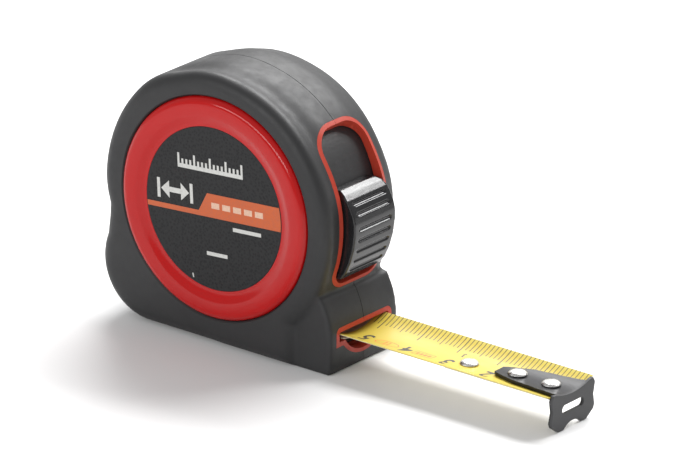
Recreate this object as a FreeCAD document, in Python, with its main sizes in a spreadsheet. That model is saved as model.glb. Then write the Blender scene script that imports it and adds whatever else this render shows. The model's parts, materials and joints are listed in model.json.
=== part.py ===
import FreeCAD, Part
import math
import operator
import os
from types import SimpleNamespace

import Sketcher
from FreeCAD import Placement, Rotation, Vector

# Pocket tape measure. +Z is up, +X is the way the blade runs out, and the case halves meet at y = 0.
# The origin lies on the flat base, straight below the spool axis. All sizes are in millimetres or degrees.

doc = FreeCAD.newDocument("tape_measure")
sheet = doc.addObject("Spreadsheet::Sheet", "Sizes")

driving_sizes = {
    # case
    "axis_height": 29.5, "case_radius": 28.8, "half_width": 13.2, "shoulder": 6.0,
    "rubber_wall": 1.2, "shell_wall": 1.6,
    "foot_x": -17.5, "foot_radius": 12.3, "foot_round": 3.5, "waist_x": -28.2, "waist_z": 23.5,
    "skirt_front": 20.0, "skirt_drop": 8.0, "skirt_lap": 4.0,
    "nose_x": 28.7, "nose_half": 11.2, "nose_top": 10.6, "nose_round": 3.4, "brow_round": 3.2,
    "neck_x": 25.0, "neck_z": 15.2, "rim": 0.9,
    # lock slot
    "slot_low": -24.5, "slot_high": 44.0, "button_gap": 0.55, "slot_top_round": 5.2, "slot_low_round": 3.2,
    # mouth
    "mouth_half": 8.4, "mouth_top": 8.9, "mouth_lip": 5.0, "notch_half": 6.8, "notch_low": 1.8,
    # bezel and label
    "bezel_radius": 23.7, "label_radius": 17.3, "bezel_crest": 0.9, "label_thick": 0.3, "bezel_gap": 0.1,
    "bezel_wall": 0.8, "bezel_corner": 1.0, "bezel_shoulder": 0.72, "crest_inset": 2.4, "label_sink": 0.2,
    "label_rim": 0.1,
    # spool
    "post_radius": 3.0, "bearing_gap": 0.05, "hub_radius": 4.5, "drum_radius": 14.0, "drum_wall": 1.4,
    "web": 1.2, "coil_thick": 4.2, "coil_gap": 0.05, "slip_thick": 0.4, "slip_radius": 19.0, "end_gap": 0.3,
    "drum_half": 8.4, "spring_pitch": 1.26, "spring_turns": 7, "spring_strip": 0.25, "spring_gap": 0.15,
    "rib_radius": 15.0, "rib_wall": 1.2, "root_depth": 0.5,
    # blade
    "blade_width": 15.6, "blade_thick": 0.25, "blade_sag": 1.9, "blade_low": 6.15, "blade_start": 26.9,
    "hook_face": 80.7, "lead_start": 2.0, "lead_drop": 0.5, "backing_start": 53.0, "backing_half": 5.5,
    "backing_gap": 0.05,
    # hook
    "hook_thick": 0.8, "hook_gap": 0.1, "float_travel": 0.8, "arm_gap": 0.12,
    "arm_length": 17.6, "arm_tip_half": 2.0, "arm_mid_half": 3.7, "arm_root_half": 5.2,
    "arm_tip_run": 0.8, "arm_mid_back": 11.5, "arm_root_back": 3.0, "arm_bevel": 0.6,
    "ear_half": 7.4, "ear_top": 8.4, "ear_side": 1.1, "ear_bevel": 0.7, "ear_inset": 0.6, "ear_step": 0.1,
    "hook_waist": 6.9, "waist_lift": 0.4, "hook_low": 0.1, "corner_top": 2.4, "corner_low": 1.5,
    "corner_inset": 0.4,
    "slit_length": 7.2, "slit_width": 1.8, "slit_height": 4.4, "foot_in": 2.9, "foot_out": 4.8, "arch": 1.2,
    # rivets
    "head_radius": 1.95, "head_height": 0.75, "shank_radius": 1.2, "tail_height": 0.35, "tail_inset": 0.3,
    "rivet_one": 5.5, "rivet_two": 13.7, "rivet_three": 25.6,
    # lock
    "plate_out": 25.7, "plate_thick": 1.5, "plate_gap": 0.55, "plate_low": -51.0, "plate_high": 47.0,
    "pad_low": -54.5, "pad_half": 5.0, "button_half": 6.7, "button_low": -23.5, "button_high": 18.7,
    "button_foot": 3.3, "button_crest": 4.8, "button_toe": 3.4, "crest_angle": 6.0, "button_round": 1.2,
    "button_corner": 2.6, "toe_run": 1.0, "swell_run": 14.0, "swell_drop": 0.5, "foot_run": 2.5,
    "foot_drop": 1.5,
    "button_ribs": 7, "rib_margin": 4.0, "groove_wide": 1.0, "groove_deep": 0.5, "groove_inset": 1.5,
    "rail_gap": 0.3, "rail_thick": 1.0, "rail_lap": 1.0, "rail_low": -46.0, "rail_high": 73.0,
    # bumper
    "bumper_start": 20.5, "bumper_end": 24.4, "bumper_half": 7.5, "bumper_gap": 0.1,
    # screws
    "screw_circle": 21.4, "boss_radius": 2.1, "screw_radius": 1.0, "screw_gap": 0.15,
    "screw_head": 1.85, "screw_head_high": 1.3, "recess_deep": 1.5, "pilot_deep": 7.0, "tip_gap": 0.5,
    "back_rise": 1.0, "back_land": 0.35,
    # belt clip: heights are measured from the spool axis
    "clip_half": 7.0, "clip_thick": 0.8, "clip_top": 20.5, "clip_bend": 12.0, "clip_out": 8.5,
    "clip_low": -12.5, "clip_end": -16.0, "clip_gap": 3.2, "clip_pinch": 0.6, "clip_flare": 1.6,
    "clip_screw_up": 16.3, "clip_screw_radius": 1.25, "clip_head": 2.2, "clip_head_high": 1.2,
    "clip_screw_deep": 2.2,
}
screw_angles = [95, 172, 225, 322]
past = 1.0  # each cutting tool reaches this far past the surface that it cuts


class Size:
    # A number together with the sheet expression that gives it, so that sums of sizes stay bound.
    def __init__(self, text, number):
        self.text = text
        self.number = number

    def __add__(self, other):
        return combine(self, "+", other)

    def __radd__(self, other):
        return combine(other, "+", self)

    def __sub__(self, other):
        return combine(self, "-", other)

    def __rsub__(self, other):
        return combine(other, "-", self)

    def __mul__(self, other):
        return combine(self, "*", other)

    def __rmul__(self, other):
        return combine(other, "*", self)

    def __truediv__(self, other):
        return combine(self, "/", other)

    def __neg__(self):
        return combine(0, "-", self)


signs = {"+": operator.add, "-": operator.sub, "*": operator.mul, "/": operator.truediv}


def lift(value):
    return value if isinstance(value, Size) else Size("(%r)" % float(value), float(value))


def combine(first, sign, second):
    first, second = lift(first), lift(second)
    return Size("(%s %s %s)" % (first.text, sign, second.text), signs[sign](first.number, second.number))


def cosine(angle):
    angle = lift(angle)
    return Size("cos(%s)" % angle.text, math.cos(math.radians(angle.number)))


def sine(angle):
    angle = lift(angle)
    return Size("sin(%s)" % angle.text, math.sin(math.radians(angle.number)))


def root(size):
    return Size("sqrt(%s)" % size.text, math.sqrt(size.number))


def driving(alias):
    return float(sheet.get(alias))


for row, (alias, value) in enumerate(driving_sizes.items(), start=1):
    sheet.set("A%d" % row, alias)
    sheet.set("B%d" % row, str(value))
    sheet.setAlias("B%d" % row, alias)
doc.recompute()
s = SimpleNamespace(**{alias: Size("Sizes." + alias, driving(alias)) for alias in driving_sizes})
nodes = []


# ---- building blocks

def bind(target, path, size):
    target.setExpression(path, lift(size).text)


def bind_place(target, x=0, y=0, z=0):
    for path, size in (("Placement.Base.x", x), ("Placement.Base.y", y), ("Placement.Base.z", z)):
        bind(target, path, size)


def node(target, label):
    # Marks an object as one of the assembly's pieces.
    target.Label = label
    nodes.append(target)
    return target


def sketch_on(body, role, away=0):
    sketch = body.newObject("Sketcher::SketchObject", body.Name + "_sketch")
    plane = next(feature for feature in body.Origin.OriginFeatures if feature.Role == role)
    sketch.AttachmentSupport = [(plane, "")]
    sketch.MapMode = "FlatFace"
    bind(sketch, ".AttachmentOffset.Base.z", away)
    return sketch


def hold(sketch, kind, sizes, *where):
    index = sketch.addConstraint(Sketcher.Constraint(kind, *where, lift(sizes).number))
    bind(sketch, "Constraints[%d]" % index, sizes)


def arc_between(start, end, radius, turn):
    # The short arc from start to end: turn is 1 counter-clockwise and -1 clockwise.
    chord = end - start
    height = math.sqrt(max(radius ** 2 - (chord.Length / 2) ** 2, 0.0))
    left = Vector(-chord.y, chord.x, 0).normalize()
    centre = (start + end) * 0.5 + left * (turn * height)
    first, last = (start, end) if turn > 0 else (end, start)
    angles = [math.atan2(point.y - centre.y, point.x - centre.x) for point in (first, last)]
    if angles[1] < angles[0]:
        angles[1] += 2 * math.pi
    return Part.ArcOfCircle(Part.Circle(centre, Vector(0, 0, 1), radius), *angles)


def draw(sketch, corners, closing=()):
    # One closed outline. Each corner is (x, y), or (x, y, radius, turn) when an arc leads up to it;
    # closing is the (radius, turn) of the last stretch back to the first corner.
    points = [Vector(lift(corner[0]).number, lift(corner[1]).number, 0) for corner in corners]
    bends = [corner[2:] for corner in corners[1:]] + [closing]
    ends = []
    for index, bend in enumerate(bends):
        start, end = points[index], points[(index + 1) % len(points)]
        if bend:
            edge = sketch.addGeometry(arc_between(start, end, lift(bend[0]).number, bend[1]), False)
            ends.append((edge, 1, 2) if bend[1] > 0 else (edge, 2, 1))
            hold(sketch, "Radius", bend[0], edge)
        else:
            ends.append((sketch.addGeometry(Part.LineSegment(start, end), False), 1, 2))
    for index, (edge, start, end) in enumerate(ends):
        after = ends[(index + 1) % len(ends)]
        sketch.addConstraint(Sketcher.Constraint("Coincident", edge, end, after[0], after[1]))
        hold(sketch, "DistanceX", corners[index][0], -1, 1, edge, start)
        hold(sketch, "DistanceY", corners[index][1], -1, 1, edge, start)


def pad(body, sketch, length, both_ways=False):
    feature = body.newObject("PartDesign::Pad", body.Name + "_pad")
    feature.Profile = sketch
    bind(feature, "Length", length)
    feature.SideType = "Symmetric" if both_ways else "One side"
    doc.recompute()
    return feature


def spin(body, sketch):
    feature = body.newObject("PartDesign::Revolution", body.Name + "_turn")
    feature.Profile = sketch
    feature.ReferenceAxis = (sketch, ["V_Axis"])
    feature.Angle = 360
    doc.recompute()
    return feature


def round_edges(body, base, radius, wanted):
    # Rounds the edges of a feature for which wanted(edge) is true.
    names = ["Edge%d" % (index + 1) for index, edge in enumerate(base.Shape.Edges) if wanted(edge)]
    feature = body.newObject("PartDesign::Fillet", body.Name + "_fillet")
    feature.Base = (base, names)
    bind(feature, "Radius", radius)
    doc.recompute()
    return feature


def prism(name, role, corners, length, away=0, both_ways=False, closing=()):
    # A body that is one padded outline. On XZ it grows towards -Y, on YZ towards +X, on XY towards +Z.
    body = doc.addObject("PartDesign::Body", name)
    sketch = sketch_on(body, role, away)
    draw(sketch, corners, closing)
    pad(body, sketch, length, both_ways)
    return body


def turned(name, corners):
    # A body turned about the spool axis: corners are (radius, y).
    body = doc.addObject("PartDesign::Body", name)
    sketch = sketch_on(body, "XY_Plane", s.axis_height)
    draw(sketch, corners)
    spin(body, sketch)
    return body


def tube(name, inner, outer, y_low, y_high):
    return turned(name, [(inner, y_low), (outer, y_low), (outer, y_high), (inner, y_high)])


def rod(name, x, z, radius, y_low, y_high):
    # A cylinder along Y from y_low to y_high.
    cylinder = doc.addObject("Part::Cylinder", name)
    bind(cylinder, "Radius", radius)
    bind(cylinder, "Height", y_high - lift(y_low))
    cylinder.Placement = Placement(Vector(), Rotation(Vector(1, 0, 0), -90))
    bind_place(cylinder, x, y_low, z)
    return cylinder


def block(name, x, y, z):
    # A box from its three (low, high) pairs.
    box = doc.addObject("Part::Box", name)
    for path, (low, high) in (("Length", x), ("Width", y), ("Height", z)):
        bind(box, path, lift(high) - low)
    bind_place(box, x[0], y[0], z[0])
    return box


def fuse(name, *shapes):
    union = doc.addObject("Part::MultiFuse", name)
    union.Shapes = list(shapes)
    union.Refine = True
    return union


def common(name, first, second):
    overlap = doc.addObject("Part::MultiCommon", name)
    overlap.Shapes = [first, second]
    return overlap


def cut(name, base, *tools):
    result = doc.addObject("Part::Cut", name)
    result.Base = base
    result.Tool = tools[0] if len(tools) == 1 else fuse(name + "_tools", *tools)
    return result


def flipped(name, source):
    # The same shape on the other side of the parting plane.
    image = doc.addObject("Part::Mirroring", name)
    image.Source = source
    image.Normal = Vector(0, 1, 0)
    return image


def polar(radius, angle):
    return radius * cosine(angle), s.axis_height + radius * sine(angle)


def arc_block(name, inner, outer, low, high, half):
    # A curved block about the spool axis, between two radii, two angles and y = -half and half.
    corners = [polar(inner, low), polar(outer, low), polar(outer, high) + (outer, 1), polar(inner, high)]
    return prism(name, "XZ_Plane", corners, half * 2, both_ways=True, closing=(inner, -1))


# ---- case layers: the rubber's outside, the shell's outside and the hollow are one shape at three insets

def layer(name, inset):
    radius = s.case_radius - inset
    side = s.half_width - inset
    bend = s.shoulder - inset
    disc = turned(name + "_disc", [
        (0, 0), (radius, 0), (radius, bend - side), (radius - bend, -side, bend, -1), (0, -side)])
    skirt = doc.addObject("PartDesign::Body", name + "_skirt")
    skirt_end = s.skirt_front - inset
    sketch = sketch_on(skirt, "XZ_Plane")
    draw(sketch, [
        (s.foot_x, inset), (skirt_end, inset), (skirt_end, s.axis_height - s.skirt_drop),
        (s.skirt_lap - s.bezel_radius, s.axis_height), (s.waist_x + inset, s.waist_z),
        (s.foot_x - s.foot_radius + inset, s.foot_radius)], closing=(s.foot_radius - inset, 1))
    skirt_pad = pad(skirt, sketch, side)
    round_edges(skirt, skirt_pad, s.foot_round - inset,
                lambda edge: edge.BoundBox.YMax < -side.number + 0.01)
    nose = doc.addObject("PartDesign::Body", name + "_nose")
    sketch = sketch_on(nose, "XZ_Plane")
    nose_front = s.nose_x - inset
    nose_side = s.nose_half - inset
    draw(sketch, [
        (0, inset), (nose_front, inset), (nose_front, s.nose_top - inset),
        (s.neck_x - inset, s.neck_z - inset), (0, s.neck_z - inset)])
    nose_pad = pad(nose, sketch, nose_side)
    brow = round_edges(nose, nose_pad, s.brow_round - inset, lambda edge: (
        edge.BoundBox.YLength > 1 and abs(edge.BoundBox.ZMin - s.nose_top.number + inset.number) < 0.01))
    round_edges(nose, brow, s.nose_round - inset, lambda edge: (
        edge.BoundBox.YMax < -nose_side.number + 0.01 and edge.BoundBox.XMin > 1))
    return fuse(name, disc, skirt, nose)


outer_layer = layer("outer_layer", lift(0))
shell_layer = layer("shell_layer", s.rubber_wall)
hollow = layer("hollow", s.rubber_wall + s.shell_wall)

walls = s.rubber_wall + s.shell_wall
shell_side = s.half_width - s.rubber_wall
inner_side = shell_side - s.shell_wall
inner_radius = s.case_radius - walls
slot_half = s.button_half + s.button_gap
rim_angle = s.rim / s.case_radius * 180 / math.pi


def slot_cutter(name, grow, grow_angle):
    low, high = s.slot_low - grow_angle, s.slot_high + grow_angle
    half = slot_half + grow
    cutter = arc_block(name, inner_radius - past, s.case_radius + past, low, high, half)
    plain = cutter.Tip
    middle = (s.slot_low.number + s.slot_high.number) / 2

    def radial(edge, upper):
        if edge.Curve.TypeId != "Part::GeomLine" or edge.BoundBox.YLength > 0.01:
            return False
        centre = edge.CenterOfMass
        angle = math.degrees(math.atan2(centre.z - s.axis_height.number, centre.x))
        return (angle > middle) == upper

    rounded = round_edges(cutter, plain, s.slot_top_round + grow, lambda edge: radial(edge, True))
    round_edges(cutter, rounded, s.slot_low_round + grow, lambda edge: radial(edge, False))
    return cutter


def mouth_cutter(name, grow):
    side, lip = s.mouth_half + grow, s.mouth_lip - grow
    notch, depth = s.notch_half + grow, s.mouth_lip - s.notch_low
    bend = (notch * notch + depth * depth) / (depth * 2)
    top = s.mouth_top + grow
    return prism(name, "YZ_Plane", [
        (-side, lip), (-notch, lip), (notch, lip, bend, 1), (side, lip), (side, top), (-side, top)],
        length=walls + past * 2, away=s.nose_x - walls - past)


slot_hole = slot_cutter("slot_hole", lift(0), 0)
slot_frame = slot_cutter("slot_frame", s.rim, rim_angle)
mouth_hole = mouth_cutter("mouth_hole", lift(0))
mouth_frame = mouth_cutter("mouth_frame", s.rim)
slot_lip = common("slot_lip", outer_layer, slot_frame)
mouth_lip = common("mouth_lip", outer_layer, mouth_frame)
skin = fuse("skin", shell_layer, slot_lip, mouth_lip)
shell_blank = cut("shell_blank", skin, hollow, slot_hole, mouth_hole)
rubber_blank = cut("rubber_blank", outer_layer, skin)

# ---- fittings moulded inside each shell: hub, thrust ring, screw bosses and the lock's rails

slip_face = s.drum_half + s.end_gap
rib_face = slip_face + s.slip_thick + s.end_gap
fitting_root = inner_side + s.root_depth
hub = rod("hub", 0, s.axis_height, s.hub_radius, -fitting_root, -slip_face)
thrust_ring = tube("thrust_ring", s.rib_radius, s.rib_radius + s.rib_wall, -fitting_root, -rib_face)
bosses = []
for index, angle in enumerate(screw_angles):
    boss_x, boss_z = polar(s.screw_circle, angle)
    bosses.append(rod("boss_%d" % index, boss_x, boss_z, s.boss_radius, -fitting_root, 0))
# The hollow's corner is round, so the lock's plate is as wide as the hollow is at the plate's outer face.
corner_bend = s.shoulder - walls
corner_rise = corner_bend - inner_radius + s.plate_out
corner_reach = root(corner_bend * corner_bend - corner_rise * corner_rise)
plate_half = inner_side - corner_bend + corner_reach - s.plate_gap
rail_out = s.plate_out - s.plate_thick - s.rail_gap
rail_bar = arc_block("rail_bar", rail_out - s.rail_thick, rail_out, s.rail_low, s.rail_high, fitting_root)
rail_space = rod("rail_space", 0, s.axis_height, s.case_radius, s.rail_lap - plate_half, s.case_radius)
rail = cut("rail", rail_bar, rail_space)
post_end = shell_side - s.shell_wall / 2
socket = rod("socket", 0, s.axis_height, s.post_radius, -post_end, 0)
shell_fitted = fuse("shell_fitted", shell_blank, hub, thrust_ring, rail, *bosses)
shell_half = cut("shell_half", shell_fitted, socket)


def screw_holes(name, radius, y_low, y_high):
    return [rod("%s_%d" % (name, index), *polar(s.screw_circle, angle), radius, y_low, y_high)
            for index, angle in enumerate(screw_angles)]


pilots = screw_holes("pilot", s.screw_radius, -s.pilot_deep, past)
node(cut("front_shell", shell_half, *pilots), "front_shell")
bezel_hole = rod("bezel_hole", 0, s.axis_height, s.bezel_radius, -s.half_width - past, past - shell_side)
node(cut("front_rubber", rubber_blank, bezel_hole), "front_rubber")

# The rear carries a bare disc wide enough for the screw heads.
back_face = shell_side + s.back_rise
back_radius = s.screw_circle + s.screw_head + s.back_land
clip_screw_z = s.axis_height + s.clip_screw_up
back_disc = rod("back_disc", 0, s.axis_height, back_radius, inner_side, back_face)
clip_boss = rod("clip_boss", 0, clip_screw_z, s.clip_screw_radius * 2, rib_face, fitting_root)
rear_blank = fuse("rear_blank", flipped("rear_half", shell_half), back_disc, clip_boss)
passages = screw_holes("passage", s.screw_radius + s.screw_gap, -past, back_face + past)
recesses = screw_holes("recess", s.screw_head + s.screw_gap, back_face - s.recess_deep, back_face + past)
clip_hole = rod("clip_hole", 0, clip_screw_z, s.clip_screw_radius, back_face - s.clip_screw_deep,
                back_face + past)
rear_socket = rod("rear_socket", 0, s.axis_height, s.post_radius, 0, post_end)
node(cut("rear_shell", rear_blank, rear_socket, clip_hole, *passages, *recesses), "rear_shell")
back_hole = rod("back_hole", 0, s.axis_height, back_radius + s.bezel_gap, shell_side - past,
                s.half_width + past)
node(cut("rear_rubber", flipped("rear_rubber_blank", rubber_blank), back_hole), "rear_rubber")

# ---- bezel and label on the front side

label_back = s.half_width - s.label_sink
bezel_edge = s.bezel_radius - s.bezel_gap
node(turned("front_bezel", [
    (0, -shell_side), (bezel_edge, -shell_side), (bezel_edge, -shell_side - s.bezel_wall),
    (bezel_edge - s.bezel_corner, -s.half_width - s.bezel_shoulder),
    (bezel_edge - s.crest_inset, -s.half_width - s.bezel_crest),
    (s.label_radius, -label_back - s.label_thick - s.label_rim), (s.label_radius, -label_back),
    (0, -label_back)]), "front_bezel")
node(rod("front_label", 0, s.axis_height, s.label_radius, -label_back - s.label_thick, -label_back),
     "front_label")

# ---- spool: fixed post, drum with its cover and spring, and the wound blade

node(rod("axle_post", 0, s.axis_height, s.post_radius, -post_end, post_end), "axle_post")
bearing = s.post_radius + s.bearing_gap
chamber = s.drum_half - s.web
drum_inner = s.drum_radius - s.drum_wall
node(turned("spool_drum", [
    (bearing, -s.drum_half), (s.drum_radius, -s.drum_half), (s.drum_radius, s.drum_half),
    (drum_inner, s.drum_half), (drum_inner, -chamber), (bearing, -chamber)]), "spool_drum")
node(tube("drum_cover", bearing, drum_inner, chamber, s.drum_half), "drum_cover")
coil_out = s.drum_radius + s.coil_gap + s.coil_thick
node(tube("blade_coil", s.drum_radius + s.coil_gap, coil_out, -s.blade_width / 2, s.blade_width / 2),
     "blade_coil")
for name, face in (("front_slip_disc", -slip_face - s.slip_thick), ("rear_slip_disc", slip_face)):
    node(tube(name, s.hub_radius + s.end_gap, s.slip_radius, face, face + s.slip_thick), name)


def spiral_spring():
    # Half circles about two centres in turn, each half a pitch larger than the last.
    step = driving("spring_pitch") / 2
    inside = driving("post_radius") + driving("spring_gap") + step / 2
    strip = driving("spring_strip")
    half_turns = int(driving("spring_turns")) * 2
    sides = []
    for side in (0, strip):
        edges = []
        for index in range(half_turns):
            radius = inside + side + step * index
            up = -1 if index % 2 else 1
            centre_x = up * step / 2
            points = [Vector(centre_x + radius * x, 0, radius * z)
                      for x, z in ((-up, 0), (0, up), (up, 0))]
            edges.append(Part.Arc(*points).toShape())
        sides.append(edges)
    ends = [Part.makeLine(sides[0][0].Vertexes[0].Point, sides[1][0].Vertexes[0].Point),
            Part.makeLine(sides[0][-1].Vertexes[-1].Point, sides[1][-1].Vertexes[-1].Point)]
    outline = Part.Wire(Part.__sortEdges__(sides[0] + sides[1] + ends))
    height = 2 * (driving("drum_half") - driving("web") - driving("end_gap"))
    return Part.Face(outline).extrude(Vector(0, height, 0))


spring = doc.addObject("Part::Feature", "power_spring")
spring.Shape = spiral_spring()
spring.Placement = Placement(Vector(0, s.web.number + s.end_gap.number - s.drum_half.number,
                                    s.axis_height.number), Rotation())
node(spring, "power_spring")

# ---- blade: a strip with a hollow section, its stretch inside the case and its backing strip

blade_bend = (s.blade_width * s.blade_width / 4 + s.blade_sag * s.blade_sag) / (s.blade_sag * 2)


def channel_rise(half):
    # How much higher the sagging section is at this distance from its middle.
    return blade_bend - root(blade_bend * blade_bend - half * half)


def channel(name, half, low, thick, start, end):
    # A strip along X whose section sags like the blade's: low is the underside at y = 0.
    edge = low + channel_rise(half)
    return prism(name, "YZ_Plane", [
        (-half, edge), (half, edge, blade_bend, 1), (half, edge + thick),
        (-half, edge + thick, blade_bend, -1)],
        length=end - start, away=start)


hook_inner = s.hook_face - s.hook_thick
blade_end = hook_inner - s.hook_gap
blade_top = s.blade_low + s.blade_thick
rivet_places = [s.hook_face - away for away in (s.rivet_one, s.rivet_two, s.rivet_three)]


def stud(name, x, radius, z_low, z_high):
    cylinder = doc.addObject("Part::Cylinder", name)
    bind(cylinder, "Radius", radius)
    bind(cylinder, "Height", z_high - lift(z_low))
    bind_place(cylinder, x, 0, z_low)
    return cylinder


def rivet_holes(name, places):
    return [stud("%s_%d" % (name, index), x, s.shank_radius, 0, s.ear_top)
            for index, x in enumerate(places)]


half_blade = s.blade_width / 2
strip = channel("blade_strip", half_blade, s.blade_low, s.blade_thick, s.blade_start, blade_end)
node(cut("blade", strip, *rivet_holes("blade_hole", rivet_places)), "blade")
backing_low = s.blade_low - s.blade_thick - s.backing_gap
backing = channel("backing_strip", s.backing_half, backing_low, s.blade_thick, s.backing_start, blade_end)
node(cut("blade_backing", backing, *rivet_holes("backing_hole", rivet_places)), "blade_backing")
lead_low = backing_low - s.tail_height - s.lead_drop
node(channel("blade_lead", half_blade, lead_low, s.blade_thick, s.lead_start, s.blade_start - s.end_gap),
     "blade_lead")

# ---- hook: an arm on the blade with slotted rivet holes, and a face with ears, slit and arched foot

arm_low = blade_top + s.arm_gap
arm_band = channel("arm_band", s.arm_root_half, arm_low, s.hook_thick, hook_inner - s.arm_length, s.hook_face)
arm_tip = hook_inner - s.arm_length
arm_side = [
    (arm_tip, s.arm_tip_half - s.arm_bevel), (arm_tip + s.arm_tip_run, s.arm_tip_half),
    (hook_inner - s.arm_mid_back, s.arm_mid_half),
    (hook_inner - s.arm_root_back, s.arm_root_half - s.arm_bevel), (s.hook_face, s.arm_root_half)]
arm_plan = prism("arm_plan", "XY_Plane", [(x, -y) for x, y in arm_side] + arm_side[::-1], length=s.ear_top)
arm = common("arm", arm_band, arm_plan)
arm_edge = arm_low + s.hook_thick + channel_rise(s.arm_root_half)
arch_bend = (s.foot_in * s.foot_in + s.arch * s.arch) / (s.arch * 2)
hook_side = [
    (s.foot_out, s.hook_low), (s.ear_half - s.corner_inset, s.hook_low + s.corner_low),
    (s.ear_half, s.hook_low + s.corner_top), (s.hook_waist, s.slit_height + s.waist_lift),
    (s.ear_half, s.ear_top - s.ear_side), (s.ear_half - s.ear_bevel, s.ear_top),
    (s.arm_root_half + s.ear_inset, s.ear_top - s.ear_step), (s.arm_root_half, arm_edge)]
left_side = [(-y, z) for y, z in reversed(hook_side)]
left_top = (*left_side[0], blade_bend, -1)
hook_plate = prism("hook_plate", "YZ_Plane", [
    (-s.foot_in, s.hook_low), (s.foot_in, s.hook_low, arch_bend, -1), *hook_side, left_top, *left_side[1:]],
    length=s.hook_thick, away=hook_inner)
slit_half, slit_end = s.slit_width / 2, (s.slit_length - s.slit_width) / 2
slit = prism("slit", "YZ_Plane", [
    (-slit_end, s.slit_height - slit_half), (slit_end, s.slit_height - slit_half),
    (slit_end + slit_half, s.slit_height, slit_half, 1), (slit_end, s.slit_height + slit_half, slit_half, 1),
    (-slit_end, s.slit_height + slit_half), (-slit_end - slit_half, s.slit_height, slit_half, 1)],
    length=s.hook_thick + past * 2, away=hook_inner - past, closing=(slit_half, 1))
arm_slots = []
for index, x in enumerate(rivet_places[:2]):
    # The hook starts pushed in and moves out, so its slots reach back from the rivets.
    reach = s.shank_radius + s.screw_gap
    arm_slots.append(stud("arm_slot_in_%d" % index, x - s.float_travel, reach, s.blade_low, s.ear_top))
    arm_slots.append(stud("arm_slot_out_%d" % index, x, reach, s.blade_low, s.ear_top))
    arm_slots.append(block("arm_slot_mid_%d" % index, (x - s.float_travel, x), (-reach, reach),
                           (s.blade_low, s.ear_top)))
node(cut("hook", fuse("hook_blank", arm, hook_plate), slit, *arm_slots), "hook")

# ---- rivets


def rivet(name, x, head_low):
    # A turned rivet standing on Z: domed head, shank and flat tail under the backing strip.
    body = doc.addObject("PartDesign::Body", name)
    sketch = sketch_on(body, "XZ_Plane")
    tail_low = backing_low - s.tail_height
    tail_radius = s.head_radius - s.tail_inset
    dome = (s.head_radius * s.head_radius + s.head_height * s.head_height) / (s.head_height * 2)
    draw(sketch, [
        (0, tail_low), (tail_radius, tail_low), (tail_radius, backing_low),
        (s.shank_radius, backing_low), (s.shank_radius, head_low), (s.head_radius, head_low),
        (0, head_low + s.head_height, dome, 1)])
    spin(body, sketch)
    bind(body, "Placement.Base.x", x)
    return body


# The sagging section rises towards a head's rim, so a head stands on that height.
head_rise = channel_rise(s.head_radius)
hook_head = arm_low + s.hook_thick + head_rise + s.bearing_gap
blade_head = blade_top + head_rise
hook_rivets = [rivet("hook_rivet_%d" % index, x, hook_head) for index, x in enumerate(rivet_places[:2])]
rivet_pair = doc.addObject("Part::Compound", "hook_rivets")
rivet_pair.Links = hook_rivets
node(rivet_pair, "hook_rivets")
node(rivet("backing_rivet", rivet_places[2], blade_head), "backing_rivet")

# ---- lock: curved carrier behind the slot, brake pad at its lower end and the ribbed button

plate_in = s.plate_out - s.plate_thick
node(arc_block("lock_slide", plate_in, s.plate_out, s.plate_low, s.plate_high, plate_half), "lock_slide")
node(arc_block("brake_pad", plate_in, s.plate_out, s.pad_low, s.plate_low, s.pad_half), "brake_pad")
foot, crest, toe = (s.plate_out + height for height in (s.button_foot, s.button_crest, s.button_toe))
# The button's face runs through these (radius, angle) points, from its lower end to its upper one.
button_face = [
    (toe, s.button_low + s.toe_run), (crest - s.swell_drop, s.button_low + s.swell_run),
    (crest, s.crest_angle), (foot, s.button_high - s.foot_run)]
button_blank = prism("button_blank", "XZ_Plane", [
    polar(s.plate_out, s.button_low), *(polar(*point) for point in button_face),
    polar(foot - s.foot_drop, s.button_high), polar(s.plate_out, s.button_high)],
    length=s.button_half * 2, both_ways=True, closing=(s.plate_out, -1))
button_middle = (s.button_low.number + s.button_high.number) / 2
button_reach = (s.button_high.number - s.button_low.number) / 2
end_zone = 1.5  # an edge this near to the button's ends belongs to them, in degrees or millimetres


def button_corner(edge):
    # The four radial edges at the button's ends.
    if edge.Curve.TypeId != "Part::GeomLine" or edge.BoundBox.YLength > 0.01 or edge.Length < end_zone:
        return False
    centre = edge.CenterOfMass
    angle = math.degrees(math.atan2(centre.z - s.axis_height.number, centre.x))
    return abs(angle - button_middle) > button_reach - end_zone


button_corners = round_edges(button_blank, button_blank.Tip, s.button_corner, button_corner)
round_edges(button_blank, button_corners, s.button_round, lambda edge: (
    edge.BoundBox.YLength < 0.01 and abs(edge.CenterOfMass.y) > s.button_half.number - 0.01
    and math.hypot(edge.CenterOfMass.x, edge.CenterOfMass.z - s.axis_height.number)
    > s.plate_out.number + s.button_round.number * 1.5))
grooves = []
groove_half = s.button_half - s.groove_inset
rib_step = (s.button_high - s.button_low - s.rib_margin * 2) / (s.button_ribs - 1)
for index in range(int(driving("button_ribs"))):
    # Each groove follows the face: it is cut to a depth below the straight line between two points of it.
    angle = s.button_low + s.rib_margin + rib_step * index
    for (radius, start), (next_radius, end) in zip(button_face, button_face[1:]):
        if angle.number < end.number:
            break
    surface = radius + (next_radius - radius) * (angle - start) / (end - start)
    half_angle = s.groove_wide / s.case_radius * 90 / math.pi
    grooves.append(arc_block("groove_%d" % index, surface - s.groove_deep, surface + past * 2,
                             angle - half_angle, angle + half_angle, groove_half))
node(cut("lock_button", button_blank, *grooves), "lock_button")

# ---- bumper under the blade, case screws and belt clip

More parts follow.
